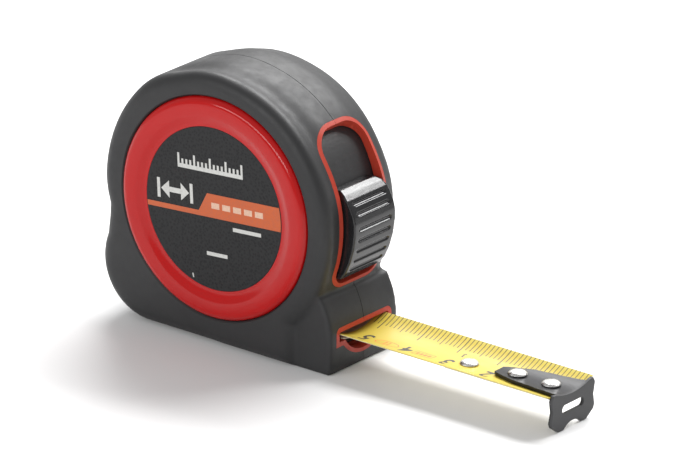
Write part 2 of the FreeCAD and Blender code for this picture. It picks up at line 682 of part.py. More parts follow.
node(block("mouth_bumper", (s.bumper_start, s.bumper_end), (-s.bumper_half, s.bumper_half),
           (walls, lead_low - s.bumper_gap)), "mouth_bumper")
case_screws = []
for index, angle in enumerate(screw_angles):
    x, z = polar(s.screw_circle, angle)
    seat = back_face - s.recess_deep
    head = rod("screw_head_%d" % index, x, z, s.screw_head, seat, seat + s.screw_head_high)
    shank = rod("screw_shank_%d" % index, x, z, s.screw_radius, s.tip_gap - s.pilot_deep, seat)
    drive = rod("screw_drive_%d" % index, x, z, s.screw_head / 2, seat + s.screw_head_high / 2,
                seat + s.screw_head_high + past)
    case_screws.append(cut("case_screw_%d" % index, fuse("screw_blank_%d" % index, head, shank), drive))
screw_set = doc.addObject("Part::Compound", "case_screws")
screw_set.Links = case_screws
node(screw_set, "case_screws")

clip_face = back_face + s.clip_gap
clip_path = [(back_face, s.clip_top), (back_face, s.clip_bend), (clip_face, s.clip_out),
             (clip_face - s.clip_pinch, s.clip_low), (clip_face - s.clip_pinch + s.clip_flare, s.clip_end)]
clip_inside = [(y, s.axis_height + up) for y, up in clip_path]
clip_outside = [(y + s.clip_thick, z) for y, z in reversed(clip_inside)]
clip_strip = prism("clip_strip", "YZ_Plane", clip_inside + clip_outside, s.clip_half * 2, both_ways=True)
clip_bore = rod("clip_bore", 0, clip_screw_z, s.clip_screw_radius + s.screw_gap, back_face - past,
                back_face + s.clip_thick + past)
node(cut("belt_clip", clip_strip, clip_bore), "belt_clip")
clip_seat = back_face + s.clip_thick
clip_head = rod("clip_screw_head", 0, clip_screw_z, s.clip_head, clip_seat, clip_seat + s.clip_head_high)
clip_shank = rod("clip_screw_shank", 0, clip_screw_z, s.clip_screw_radius, back_face - s.clip_screw_deep,
                 clip_seat)
clip_drive = rod("clip_screw_drive", 0, clip_screw_z, s.clip_head / 2,
                 clip_seat + s.clip_head_high / 2, clip_seat + s.clip_head_high + past)
node(cut("clip_screw", fuse("clip_screw_blank", clip_head, clip_shank), clip_drive), "clip_screw")

# ---- check and export

doc.recompute()
failed = [item.Name for item in doc.Objects if "Invalid" in item.State or "Error" in item.State]
if failed:
    raise RuntimeError("objects failed: %s" % ", ".join(failed))
for item in nodes:
    if item.Shape.isNull() or not item.Shape.isValid() or not item.Shape.Solids:
        raise RuntimeError("no valid solid in %s" % item.Label)
os.makedirs("parts", exist_ok=True)
for item in nodes:
    item.Shape.exportStep("parts/%s.step" % item.Label)
    box = item.Shape.BoundBox
    print("%-16s solids %d volume %9.1f  x %6.1f %6.1f  y %6.1f %6.1f  z %6.1f %6.1f" % (
        item.Label, len(item.Shape.Solids), item.Shape.Volume, box.XMin, box.XMax, box.YMin, box.YMax,
        box.ZMin, box.ZMax))
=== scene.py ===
import json
import math

import bmesh
import bpy
from mathutils import Matrix, Vector


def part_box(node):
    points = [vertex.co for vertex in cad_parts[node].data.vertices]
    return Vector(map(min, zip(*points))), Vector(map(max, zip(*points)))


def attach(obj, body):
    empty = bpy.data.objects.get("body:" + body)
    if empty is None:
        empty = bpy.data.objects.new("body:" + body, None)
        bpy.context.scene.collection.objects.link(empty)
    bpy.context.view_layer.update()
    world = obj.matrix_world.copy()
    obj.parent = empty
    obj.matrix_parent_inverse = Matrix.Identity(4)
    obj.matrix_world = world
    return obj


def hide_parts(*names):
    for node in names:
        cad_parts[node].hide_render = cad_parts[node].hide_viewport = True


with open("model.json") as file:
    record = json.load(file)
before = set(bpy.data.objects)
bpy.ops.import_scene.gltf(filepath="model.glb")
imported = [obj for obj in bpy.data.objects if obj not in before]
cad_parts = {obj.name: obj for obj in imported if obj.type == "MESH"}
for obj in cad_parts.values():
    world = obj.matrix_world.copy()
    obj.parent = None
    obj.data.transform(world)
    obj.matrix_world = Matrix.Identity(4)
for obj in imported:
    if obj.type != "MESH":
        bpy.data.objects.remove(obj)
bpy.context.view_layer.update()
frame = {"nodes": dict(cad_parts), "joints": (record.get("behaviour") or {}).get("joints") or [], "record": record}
print("frame loaded:", len(frame["nodes"]), "nodes")

mm = 0.001
tiny = 1e-7
joints = {joint["name"]: joint for joint in frame["joints"]}
axisHeight = joints["drum_spin"]["pos_m"][2]
rubberLow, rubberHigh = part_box("front_rubber")
caseRadius = rubberHigh.z - axisHeight
halfWidth = -rubberLow.y
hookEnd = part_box("hook")[1].x


class Wire:
    # One output socket; sums of wires and numbers add their Math nodes.
    def __init__(self, finish, socket):
        self.finish = finish
        self.socket = socket

    def __add__(self, other):
        return self.finish.math("ADD", self, other)

    def __sub__(self, other):
        return self.finish.math("SUBTRACT", self, other)

    def __mul__(self, other):
        return self.finish.math("MULTIPLY", self, other)

    def __truediv__(self, other):
        return self.finish.math("DIVIDE", self, other)

    def __gt__(self, other):
        return self.finish.math("GREATER_THAN", self, other)

    def __radd__(self, other):
        return self.finish.math("ADD", other, self)

    def __rsub__(self, other):
        return self.finish.math("SUBTRACT", other, self)

    def __rmul__(self, other):
        return self.finish.math("MULTIPLY", other, self)

    def __rtruediv__(self, other):
        return self.finish.math("DIVIDE", other, self)

    def __abs__(self):
        return self.finish.math("ABSOLUTE", self)


class Finish:
    # A material, with its fixed sockets given by name.
    def __init__(self, name, fixed=None):
        self.material = bpy.data.materials.new(name)
        self.material.use_nodes = True
        self.tree = self.material.node_tree
        self.shader = self.tree.nodes["Principled BSDF"]
        for socketName, value in (fixed or {}).items():
            self.shader.inputs[socketName].default_value = value

    def node(self, kind, settings=None, inputs=None, output=0):
        # Settings are set first, then the inputs, each by its name or its place.
        made = self.tree.nodes.new("ShaderNode" + kind)
        for key, value in (settings or {}).items():
            setattr(made, key, value)
        for key, value in (inputs or {}).items():
            if isinstance(value, Wire):
                self.tree.links.new(value.socket, made.inputs[key])
            else:
                made.inputs[key].default_value = value
        return Wire(self, made.outputs[output])

    def math(self, operation, *values):
        return self.node("Math", {"operation": operation}, dict(enumerate(values)))

    def place(self):
        return self.node("TexCoord", output="Object")

    def axes(self):
        # Object coordinates as three wires, in millimetres.
        split = self.node("SeparateXYZ", inputs={0: self.place()})
        outputs = split.socket.node.outputs
        return [Wire(self, outputs[i]) / mm for i in range(3)]

    def noise(self, scale, detail=3.0, rough=0.5, stretch=(1, 1, 1)):
        spot = self.node("Mapping", {"vector_type": "POINT"}, {"Vector": self.place(), "Scale": stretch})
        return self.node("TexNoise", inputs={"Vector": spot, "Scale": scale, "Detail": detail,
                                             "Roughness": rough})

    def cells(self, scale):
        return self.node("TexVoronoi", {"feature": "F1"}, {"Vector": self.place(), "Scale": scale})

    def between(self, wire, low, high, first=0.0, last=1.0):
        # A smooth step from first to last as wire goes from low to high.
        return self.node("MapRange", {"interpolation_type": "SMOOTHSTEP"},
                         {"Value": wire, "From Min": low, "From Max": high, "To Min": first, "To Max": last})

    def mix(self, factor, first, last):
        colours = [value if isinstance(value, Wire) else (*value, 1) for value in (first, last)]
        return self.node("Mix", {"data_type": "RGBA"}, {0: factor, 6: colours[0], 7: colours[1]}, 2)

    def feed(self, socketName, wire):
        self.tree.links.new(wire.socket, self.shader.inputs[socketName])

    def bump(self, height, strength, distance=0.0001):
        self.feed("Normal", self.node("Bump", inputs={"Height": height, "Strength": strength,
                                                      "Distance": distance}))


def mouldedFinish(name, colour, dark, rough, sheen=0.5):
    # Moulded rubber or plastic: faint clouds in its colour, uneven sheen and a fine texture.
    finish = Finish(name, {"Specular IOR Level": sheen})
    clouds = finish.noise(90, 4)
    wear = finish.noise(900, 3, 0.65)
    finish.feed("Base Color", finish.mix(clouds, dark, colour))
    finish.feed("Roughness", finish.between(wear, 0.3, 0.7, rough[0], rough[1]))
    finish.bump(finish.noise(9000, 2) + finish.noise(500, 3) * 0.6, 0.12)
    return finish.material


def metalFinish(name, colour, rough, stretch=(1, 1, 1), scale=3000):
    # Bare metal with a drawn or turned grain.
    finish = Finish(name, {"Metallic": 1.0})
    grain = finish.noise(scale, 4, 0.6, stretch)
    stain = finish.noise(300, 3)
    finish.feed("Base Color", finish.mix(stain, [value * 0.86 for value in colour], colour))
    finish.feed("Roughness", finish.between(grain + stain * 0.5, 0.3, 1.0, rough[0], rough[1]))
    finish.bump(grain, 0.08, 0.00003)
    return finish.material


def rubberFinish():
    finish = Finish("rubberBlack", {"Specular IOR Level": 0.34})
    clouds = finish.noise(60, 4)
    grain = finish.noise(11000, 2)
    rub = finish.noise(420, 5, 0.7)
    finish.feed("Base Color", finish.mix(clouds, (0.019, 0.019, 0.020), (0.028, 0.028, 0.029)))
    finish.feed("Roughness", finish.between(rub, 0.3, 0.72, 0.44, 0.56))
    finish.bump(grain + rub * 0.35, 0.16, 0.00005)
    return finish.material


def labelFinish():
    # Leathery film: small rounded cells with a finer grain over them.
    finish = Finish("labelBlack", {"Specular IOR Level": 0.15})
    leather = finish.cells(1700) * 0.7 + finish.noise(5200, 3) * 0.5
    raised = finish.between(leather, 0.25, 0.75)
    finish.feed("Base Color", finish.mix(raised, (0.012, 0.012, 0.013), (0.026, 0.026, 0.027)))
    finish.feed("Roughness", finish.between(leather, 0.2, 0.8, 0.40, 0.58))
    finish.bump(leather, 0.45, 0.00008)
    return finish.material


coatShape = {
    # in millimetres: where the rubbed edge starts and ends, and the hollow's curve with its lowest point
    "edgeStart": 6.4, "edgeEnd": 7.8, "hollow": 33.9, "low": 6.15, "skin": 0.19,
}


def bladeFinish():
    # Matt yellow coat, a little paler and rubbed towards its edges, on thin steel.
    s = coatShape
    finish = Finish("bladeYellow", {"Specular IOR Level": 0.30})
    x, y, z = finish.axes()
    streaks = finish.noise(600, 4, 0.6, (0.12, 1, 1))
    edge = finish.between(abs(y), s["edgeStart"], s["edgeEnd"])
    tone = finish.mix(streaks, (0.57, 0.435, 0.052), (0.62, 0.485, 0.075))
    coat = finish.mix(edge * 0.5, tone, (0.68, 0.60, 0.17))
    # the underside is painted pale grey-tan rather than yellow, to take the yellow out of the light it bounces
    # into its shadow on the floor; height above the hollow's own curve tells it from the top
    height = z - y * y / s["hollow"] - s["low"]
    finish.feed("Base Color", finish.mix(height > s["skin"], (0.60, 0.55, 0.42), coat))
    finish.feed("Roughness", finish.between(streaks, 0.3, 0.7, 0.36, 0.48))
    finish.bump(finish.noise(7000, 2), 0.08, 0.00004)
    return finish.material


def hookFinish():
    # Gloss black coat on the arm, satin on the face that meets the work.
    finish = Finish("hookBlack", {"Specular IOR Level": 0.20})
    x, y, z = finish.axes()
    face = finish.between(x, hookEnd / mm - 0.8, hookEnd / mm - 0.1)
    wear = finish.noise(1500, 4, 0.7)
    finish.feed("Base Color", finish.mix(face, (0.012, 0.012, 0.014), (0.062, 0.062, 0.064)))
    finish.feed("Roughness", finish.between(face, 0.0, 1.0, 0.33, 0.50) + (wear - 0.5) * 0.10)
    finish.bump(finish.noise(6000, 2) + wear * 0.5, 0.10, 0.00004)
    return finish.material


def inkFinish(name, colour, rough=0.45):
    finish = Finish(name)
    worn = finish.noise(2600, 3, 0.7)
    faded = [value * 0.8 + 0.02 for value in colour]
    finish.feed("Base Color", finish.mix(finish.between(worn, 0.35, 0.75), colour, faded))
    finish.feed("Roughness", finish.between(worn, 0.3, 0.7, rough - 0.05, rough + 0.08))
    return finish.material


def glossFinish(name, colour, dark, rough, sheen):
    # Polished moulding: clean gloss with faint hairline marks in the sheen.
    finish = Finish(name, {"Specular IOR Level": sheen})
    clouds = finish.noise(120, 3)
    hairlines = finish.noise(2500, 5, 0.75, (1, 0.2, 1))
    finish.feed("Base Color", finish.mix(clouds, dark, colour))
    finish.feed("Roughness", finish.between(hairlines, 0.35, 0.75, rough, rough + 0.10))
    finish.bump(finish.noise(260, 2), 0.05, 0.0002)
    return finish.material


finishes = {
    "rubber_black": rubberFinish(),
    "shell_red": mouldedFinish("shellRed", (0.46, 0.050, 0.026), (0.38, 0.036, 0.020), (0.38, 0.52), 0.25),
    "bezel_red": glossFinish("bezelRed", (0.43, 0.005, 0.005), (0.39, 0.004, 0.004), 0.10, 0.30),
    "label_black": labelFinish(),
    "spool_grey": mouldedFinish("spoolGrey", (0.30, 0.30, 0.31), (0.25, 0.25, 0.26), (0.40, 0.55)),
    "spring_steel": metalFinish("springSteel", (0.30, 0.32, 0.38), (0.25, 0.42), (0.1, 1, 0.1)),
    "post_steel": metalFinish("postSteel", (0.55, 0.55, 0.56), (0.20, 0.38), (1, 0.1, 1)),
    "slip_white": mouldedFinish("slipWhite", (0.78, 0.78, 0.75), (0.70, 0.70, 0.68), (0.30, 0.42)),
    "blade_yellow": bladeFinish(),
    "hook_black": hookFinish(),
    "rivet_steel": metalFinish("rivetSteel", (0.80, 0.79, 0.78), (0.14, 0.34), (1, 0.25, 1), 2400),
    "button_black": glossFinish("buttonBlack", (0.012, 0.012, 0.013), (0.009, 0.009, 0.010), 0.16, 0.5),
    "slide_black": mouldedFinish("slideBlack", (0.024, 0.024, 0.025), (0.018, 0.018, 0.019), (0.36, 0.50)),
    "pad_rubber": mouldedFinish("padRubber", (0.05, 0.05, 0.05), (0.035, 0.035, 0.036), (0.6, 0.75)),
    "screw_steel": metalFinish("screwSteel", (0.50, 0.50, 0.52), (0.28, 0.45)),
    "clip_steel": metalFinish("clipSteel", (0.26, 0.26, 0.28), (0.25, 0.40), (1, 1, 0.08)),
}
ink = {
    "black": inkFinish("inkBlack", (0.018, 0.017, 0.016)),
    "red": inkFinish("inkRed", (0.80, 0.16, 0.035)),
    "white": inkFinish("inkWhite", (0.55, 0.55, 0.53)),
    "orange": inkFinish("inkOrange", (0.50, 0.085, 0.010), 0.42),
    "pale": inkFinish("inkPale", (0.66, 0.42, 0.30)),
}
for item in frame["record"]["subparts"]:
    cadNode = frame["nodes"][item["node"]]
    cadNode.data.materials.clear()
    cadNode.data.materials.append(finishes[item["material_slot"]])
print("finishes made:", len(finishes) + len(ink))


def meshObject(name, bm, material=None, sharp=35):
    bmesh.ops.remove_doubles(bm, verts=bm.verts, dist=tiny)
    bmesh.ops.recalc_face_normals(bm, faces=bm.faces)
    data = bpy.data.meshes.new(name)
    bm.to_mesh(data)
    bm.free()
    obj = bpy.data.objects.new(name, data)
    bpy.context.scene.collection.objects.link(obj)
    if material:
        data.materials.append(material)
    smoothed(obj, sharp)
    return obj


def smoothed(obj, sharp=35):
    for polygon in obj.data.polygons:
        polygon.use_smooth = True
    obj.data.set_sharp_from_angle(angle=math.radians(sharp))


def settle(obj):
    # Applies the modifiers, so that the mesh is final.
    final = obj.evaluated_get(bpy.context.evaluated_depsgraph_get())
    data = bpy.data.meshes.new_from_object(final)
    materials = list(obj.data.materials)
    obj.modifiers.clear()
    obj.data = data
    data.materials.clear()
    for material in materials:
        data.materials.append(material)
    smoothed(obj)
    return obj


def remeshed(obj, voxel, rounds):
    # Worn edges: one even skin, smoothed a number of times.
    remesh = obj.modifiers.new("remesh", "REMESH")
    remesh.mode = "VOXEL"
    remesh.voxel_size = voxel
    soften = obj.modifiers.new("soften", "SMOOTH")
    soften.factor = 0.5
    soften.iterations = rounds
    return settle(obj)


def joinShape(obj, cutter, operation="DIFFERENCE", keep=False):
    boolean = obj.modifiers.new("boolean", "BOOLEAN")
    boolean.operation = operation
    boolean.solver = "MANIFOLD"
    boolean.object = cutter
    settle(obj)
    if not keep:
        bpy.data.objects.remove(cutter)
    return obj


def copied(obj, name):
    twin = bpy.data.objects.new(name, obj.data.copy())
    bpy.context.scene.collection.objects.link(twin)
    return twin


def mergedCopy(nodeName, name):
    # A copy of one of the frame's own nodes, with its loose corners merged.
    piece = copied(frame["nodes"][nodeName], name)
    bm = bmesh.new()
    bm.from_mesh(piece.data)
    bmesh.ops.remove_doubles(bm, verts=bm.verts, dist=0.002 * mm)
    bmesh.ops.recalc_face_normals(bm, faces=bm.faces)
    bm.to_mesh(piece.data)
    bm.free()
    return piece


def halved(obj, name, side, gap):
    # The half of a piece on one side of the parting plane; side is -1 for the label's side.
    half = copied(obj, name)
    bm = bmesh.new()
    bm.from_mesh(half.data)
    cut = bmesh.ops.bisect_plane(bm, geom=bm.verts[:] + bm.edges[:] + bm.faces[:],
                                 plane_co=(0, side * gap, 0), plane_no=(0, -side, 0), clear_outer=True,
                                 dist=0.001 * mm)
    rim = [item for item in cut["geom_cut"] if isinstance(item, bmesh.types.BMEdge)]
    bmesh.ops.triangle_fill(bm, edges=rim, use_beauty=False, use_dissolve=False)
    bmesh.ops.recalc_face_normals(bm, faces=bm.faces)
    bm.to_mesh(half.data)
    bm.free()
    smoothed(half)
    return half


def ready(obj, body, slotName, *nodes):
    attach(obj, body)
    if nodes:
        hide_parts(*nodes)


def lathe(bm, profile, steps=160, centre=(0, 0, axisHeight), axis=(0, 1, 0)):
    # Turns a profile of (radius, place along the axis) once round.
    centre, axis, across = Vector(centre), Vector(axis), Vector((1, 0, 0))
    points = [bm.verts.new(centre + across * radius + axis * along) for radius, along in profile]
    edges = [bm.edges.new(pair) for pair in zip(points, points[1:])]
    bmesh.ops.spin(bm, geom=points + edges, cent=centre, axis=axis, dvec=(0, 0, 0),
                   angle=2 * math.pi, steps=steps, use_merge=True, use_duplicate=False)


def slab(bm, outline, direction):
    # A flat outline pushed along a direction.
    face = bm.faces.new([bm.verts.new(point) for point in outline])
    pushed = bmesh.ops.extrude_face_region(bm, geom=[face])
    moved = [item for item in pushed["geom"] if isinstance(item, bmesh.types.BMVert)]
    bmesh.ops.translate(bm, verts=moved, vec=direction)
    return [*face.verts, *moved]


def roundEdges(bm, edges, radius, segments=5):
    bmesh.ops.bevel(bm, geom=list(edges), offset=radius, offset_type="OFFSET", affect="EDGES",
                    segments=segments, profile=0.5, material=-1, clamp_overlap=True)


def rimEdges(verts):
    # The edges of a block's two end faces.
    return {edge for vert in verts for edge in vert.link_edges
            if abs(edge.verts[0].co.y - edge.verts[1].co.y) < tiny}


def polar(radius, degrees, y=0.0):
    angle = math.radians(degrees)
    return Vector((radius * math.cos(angle), y, axisHeight + radius * math.sin(angle)))


def arc(radius, first, last, step):
    # Points of a round stretch, by its angles in degrees.
    return [(radius * math.cos(math.radians(a)), radius * math.sin(math.radians(a)))
            for a in range(first, last + 1, step)]


def smoothStep(value, low, high):
    share = min(max((value - low) / (high - low), 0.0), 1.0)
    return share * share * (3 - 2 * share)


def plateau(value, start, full, fade, end):
    return smoothStep(value, start, full) * (1 - smoothStep(value, fade, end))


caseShape = {
    "voxel": 0.42 * mm, "rounds": 7, "steps": 144, "footSteps": 72,
    "frontBend": 3.3 * mm, "rearBend": 6.2 * mm,
    "footX": -17.5 * mm, "footRadius": 12.3 * mm, "footRound": 3.2 * mm,
    "heelReach": 0.94, "heelRise": 1.25, "waistX": -28.2 * mm, "waistZ": 23.5 * mm,
    "shoulderX": -19.7 * mm, "skirtFront": 20.0 * mm, "skirtTop": 21.5 * mm,
    "noseX": 28.7 * mm, "noseHalf": 11.2 * mm, "noseTop": 10.6 * mm, "noseRound": 3.4 * mm,
    "noseStart": 20 * mm, "browRound": 3.0 * mm, "neckX": 26.2 * mm, "neckZ": 15.8 * mm,
    "rubberWall": 1.2 * mm, "seamGap": 0.07 * mm, "rimSeamGap": 0.028 * mm,
}


def caseBlank(name, inset):
    # One soft body, from which the rubber skin and the red rims are cut.
    s = caseShape
    bm = bmesh.new()
    side, radius, ease = halfWidth - inset, caseRadius - inset, inset * 0.5
    front, rear = (
        [(radius - bend + ease + u, side - bend + ease + v) for u, v in arc(bend - ease, 0, 90, 10)[::-1]]
        for bend in (s["frontBend"], s["rearBend"]))
    lathe(bm, [(0, -side)] + [(r, -y) for r, y in front] + rear[::-1] + [(0, side)], s["steps"])
    # foot bulge and skirt
    footRadius = s["footRadius"] - inset
    foot = bmesh.ops.create_cone(bm, cap_ends=True, segments=s["footSteps"], radius1=footRadius,
                                 radius2=footRadius, depth=side * 2,
                                 matrix=Matrix.Translation((s["footX"], 0, s["footRadius"]))
                                 @ Matrix.Rotation(math.pi / 2, 4, "X"))["verts"]
    roundEdges(bm, rimEdges(foot), s["footRound"] - ease)
    skirtFront = s["skirtFront"] - inset
    outline = [(s["footX"], inset), (skirtFront, inset), (skirtFront, s["skirtTop"]),
               (s["shoulderX"], axisHeight), (s["waistX"] + inset, s["waistZ"]),
               (s["footX"] - s["footRadius"] * s["heelReach"] + inset, s["footRadius"] * s["heelRise"])]
    skirt = slab(bm, [(x, -side, z) for x, z in outline], (0, side * 2, 0))
    roundEdges(bm, rimEdges(skirt), s["footRound"] - ease)
    # nose with its brow over the mouth
    noseSide, noseTop, neckTop = s["noseHalf"] - inset, s["noseTop"] - inset, s["neckZ"] - inset
    outline = [(0, inset), (s["noseX"] - inset, inset), (s["noseX"] - inset, noseTop),
               (s["neckX"] - inset, neckTop), (0, neckTop)]
    nose = slab(bm, [(x, -noseSide, z) for x, z in outline], (0, noseSide * 2, 0))
    brow = {edge for vert in nose for edge in vert.link_edges
            if all(abs(v.co.z - noseTop) < tiny and v.co.x > s["noseStart"] for v in edge.verts)}
    roundEdges(bm, brow, s["browRound"] - inset)
    sides = {edge for vert in bm.verts for edge in vert.link_edges
             if all(abs(abs(v.co.y) - noseSide) < tiny and v.co.x > s["noseStart"] for v in edge.verts)}
    roundEdges(bm, sides, s["noseRound"] - inset)
    blank = remeshed(meshObject(name, bm), s["voxel"], s["rounds"])
    for vert in blank.data.vertices:
        vert.co += crownShift(vert.co)
    return blank


crownShape = {
    # depths in millimetres, angles in degrees round the spool's axis, reach as a share of the case's radius
    "valley": (-34, -18, 112, 128), "valleyDepth": 0.75 * mm, "valleyPlace": 8.6 * mm,
    "valleyWidth": 2.6 * mm, "brow": (8, 34, 74, 104), "browDrop": 0.55 * mm,
    "back": (108, 135, 178, 200), "backSwell": 0.85 * mm,
    "core": 0.72, "skinStart": 0.80, "skinEnd": 0.93,
}


def crownShift(point):
    # The grip band over the back: a soft valley each side parts it from the shoulders.
    s = crownShape
    arm = Vector((point.x, 0, point.z - axisHeight))
    reach = arm.length / caseRadius
    if reach < s["core"]:
        return Vector((0, 0, 0))
    angle = math.degrees(math.atan2(arm.z, arm.x))
    depth = smoothStep(reach, s["skinStart"], s["skinEnd"])
    across = math.exp(-((abs(point.y) - s["valleyPlace"]) / s["valleyWidth"]) ** 2)
    valley = plateau(angle, *s["valley"]) * across * depth
    brow = plateau(angle, *s["brow"]) * smoothStep(reach, s["core"], 1)
    back = plateau(angle % 360, *s["back"]) * depth
    return arm.normalized() * (s["backSwell"] * back - s["valleyDepth"] * valley - s["browDrop"] * brow)


slotShape = {
    "low": -24.5, "high": 44.0, "half": 7.25 * mm, "topRound": 5.2 * mm, "lowRound": 3.2 * mm,
    "inner": 24.6 * mm, "outer": 31.6 * mm, "strips": 12, "roundSteps": 10, "rim": 0.95 * mm,
}


def slotCutter(name, grow, inner):
    # A flat block with rounded corners, cut into strips and bent round the spool's axis.
    s = slotShape
    half = s["half"] + grow
    low = math.radians(s["low"]) * caseRadius - grow
    high = math.radians(s["high"]) * caseRadius + grow
    bm = bmesh.new()
    slab(bm, [(low, -half, inner), (high, -half, inner), (high, half, inner), (low, half, inner)],
         (0, 0, s["outer"] - inner))
    for at, radius in ((high, s["topRound"]), (low, s["lowRound"])):
        corners = [edge for edge in bm.edges if all(abs(v.co.x - at) < tiny for v in edge.verts)
                   and abs(edge.verts[0].co.y - edge.verts[1].co.y) < tiny]
        roundEdges(bm, corners, radius + grow, s["roundSteps"])
    for step in range(1, s["strips"]):
        at = low + (high - low) * step / s["strips"]
        bmesh.ops.bisect_plane(bm, geom=bm.verts[:] + bm.edges[:] + bm.faces[:], plane_co=(at, 0, 0),
                               plane_no=(1, 0, 0), dist=tiny)
    for vert in bm.verts:
        vert.co = polar(vert.co.z, math.degrees(vert.co.x / caseRadius), vert.co.y)
    return meshObject(name, bm)


mouthShape = {
    "half": 8.2 * mm, "top": 8.65 * mm, "lip": 6.5 * mm, "notchHalf": 6.2 * mm, "notchLow": 3.1 * mm,
    "notchSteps": 8, "back": 26.3 * mm, "front": 30.5 * mm, "cornerRound": 0.5 * mm,
}


def mouthCutter(name, grow, back):
    # A low letterbox with a shallow round notch in its sill.
    s = mouthShape
    side, lip, top = s["half"] + grow, s["lip"] - grow, s["top"] + grow
    notch, depth = s["notchHalf"] + grow * 0.6, lip - s["notchLow"] + grow * 0.8
    bend = (notch * notch + depth * depth) / (depth * 2)
    spread, steps = math.asin(notch / bend), s["notchSteps"]
    angles = [spread * step / steps for step in range(-steps, steps + 1)]
    sill = [(bend * math.sin(a), lip - depth + bend - bend * math.cos(a)) for a in angles]
    outline = [(-side, lip), *sill, (side, lip), (side, top), (-side, top)]
    bm = bmesh.new()
    slab(bm, [(back, y, z) for y, z in outline], (s["front"] - back, 0, 0))
    corners = [edge for edge in bm.edges if edge.calc_length() < side and
               all(abs(abs(v.co.y) - side) < tiny and abs(v.co.z - top) < tiny for v in edge.verts)]
    roundEdges(bm, corners, s["cornerRound"] + grow, 6)
    return meshObject(name, bm)


holeShape = {
    "radius": 23.7 * mm, "ease": 0.35 * mm, "proud": 0.05 * mm, "deep": 2 * mm, "clear": 1 * mm,
    "plugGap": 0.02 * mm, "steps": 200,
}


def ringCutter(name, side):
    # A round opening in one side, its edge eased into a fine groove.
    s = holeShape
    face = halfWidth + s["proud"]
    outline = [(0, face - s["deep"]), (s["radius"], face - s["deep"]), (s["radius"], face - s["ease"]),
               (s["radius"] + s["ease"], face), (s["radius"] + s["ease"], face + s["clear"]),
               (0, face + s["clear"])]
    bm = bmesh.new()
    lathe(bm, [(r, side * y) for r, y in outline], s["steps"])
    return meshObject(name, bm)


def throughHole():
    # A plug as wide as the ring's opening, right through the case.
    s = holeShape
    reach, radius = halfWidth + s["clear"], s["radius"] - s["plugGap"]
    bm = bmesh.new()
    lathe(bm, [(0, -reach), (radius, -reach), (radius, reach), (0, reach)], s["steps"])
    return meshObject("throughHole", bm)


def makeGrips(outerBlank, innerBlank):
    skin = copied(outerBlank, "skin")
    joinShape(skin, innerBlank, keep=True)
    joinShape(skin, slotCutter("slotFrame", slotShape["rim"], slotShape["inner"]))
    joinShape(skin, mouthCutter("mouthFrame", slotShape["rim"], mouthShape["back"]))
    joinShape(skin, ringCutter("bezelHole", -1))
    joinShape(skin, ringCutter("backHole", 1))
    skin.data.materials.append(finishes["rubber_black"])
    gap = caseShape["seamGap"]
    for name, side, nodeName in (("frontGrip", -1, "front_rubber"), ("rearGrip", 1, "rear_rubber")):
        ready(halved(skin, name, side, gap), "case", "rubber_black", nodeName)
    bpy.data.objects.remove(skin)


rimShape = {
    # how far the walls stay clear of the rubber, and how far they start from the spool's axis
    "clear": 0.03 * mm, "slotStart": 25.9 * mm, "slotPeel": 0.06 * mm, "slotHole": 24.0 * mm,
    "mouthStart": 26.6 * mm, "mouthPeel": 0.05 * mm, "mouthHole": 26.0 * mm,
}


def rimPair(name, outerBlank, framePiece, holePiece):
    # The red wall round an opening, as high as the rubber beside it.
    rim = copied(outerBlank, name)
    joinShape(rim, framePiece, "INTERSECT")
    joinShape(rim, holePiece)
    rim.data.materials.append(finishes["shell_red"])
    for side, word in ((-1, "Front"), (1, "Rear")):
        ready(halved(rim, name + word, side, caseShape["rimSeamGap"]), "case", "shell_red")
    bpy.data.objects.remove(rim)


def makeRims(outerBlank):
    s = rimShape
    grow = slotShape["rim"] - s["clear"]
    rimPair("slotRim", outerBlank, slotCutter("slotWall", grow, s["slotStart"]),
            slotCutter("slotHole", -s["slotPeel"], s["slotHole"]))
    rimPair("mouthRim", outerBlank, mouthCutter("mouthWall", grow, s["mouthStart"]),
            mouthCutter("mouthHole", -s["mouthPeel"], s["mouthHole"]))


def makeShells(innerBlank):
    # The frame's own shells, trimmed to lie under the rubber.
    joinShape(innerBlank, throughHole(), "UNION")
    for nodeName, pieceName in (("front_shell", "frontShell"), ("rear_shell", "rearShell")):
        shell = mergedCopy(nodeName, pieceName)
        joinShape(shell, innerBlank, "INTERSECT", keep=True)
        ready(shell, "case", "shell_red", nodeName)


def makeCase():
    outerBlank = caseBlank("outerBlank", 0.0)
    innerBlank = caseBlank("innerBlank", caseShape["rubberWall"])
    makeGrips(outerBlank, innerBlank)
    print("rubber skins made")
    makeRims(outerBlank)
    makeShells(innerBlank)
    bpy.data.objects.remove(innerBlank)
    bpy.data.objects.remove(outerBlank)
    print("rims cut and shells trimmed")


makeCase()

bezelShape = {
    # radius and place along the spool's axis, in millimetres, from the ring's outer foot to its inner one
    "back": -12.0, "deck": -13.05, "outer": 23.6, "seat": 17.3, "steps": 240, "labelSteps": 160,
    "profile": [(23.6, -12.6), (23.52, -12.95), (23.35, -13.3), (23.1, -13.6), (22.8, -13.84),
                (22.55, -13.97), (22.3, -14.05), (22.05, -14.09), (21.75, -14.1), (21.3, -14.085),
                (20.8, -14.05), (20.3, -14.0), (19.9, -13.94), (19.6, -13.87), (19.3, -13.76), (18.9, -13.6),
                (18.4, -13.42), (18.0, -13.31), (17.7, -13.26), (17.45, -13.26), (17.34, -13.24),
                (17.32, -13.15)],
    "labelRadius": 17.28, "labelFace": -13.3, "labelRound": 0.05, "turn": 4.2,
}


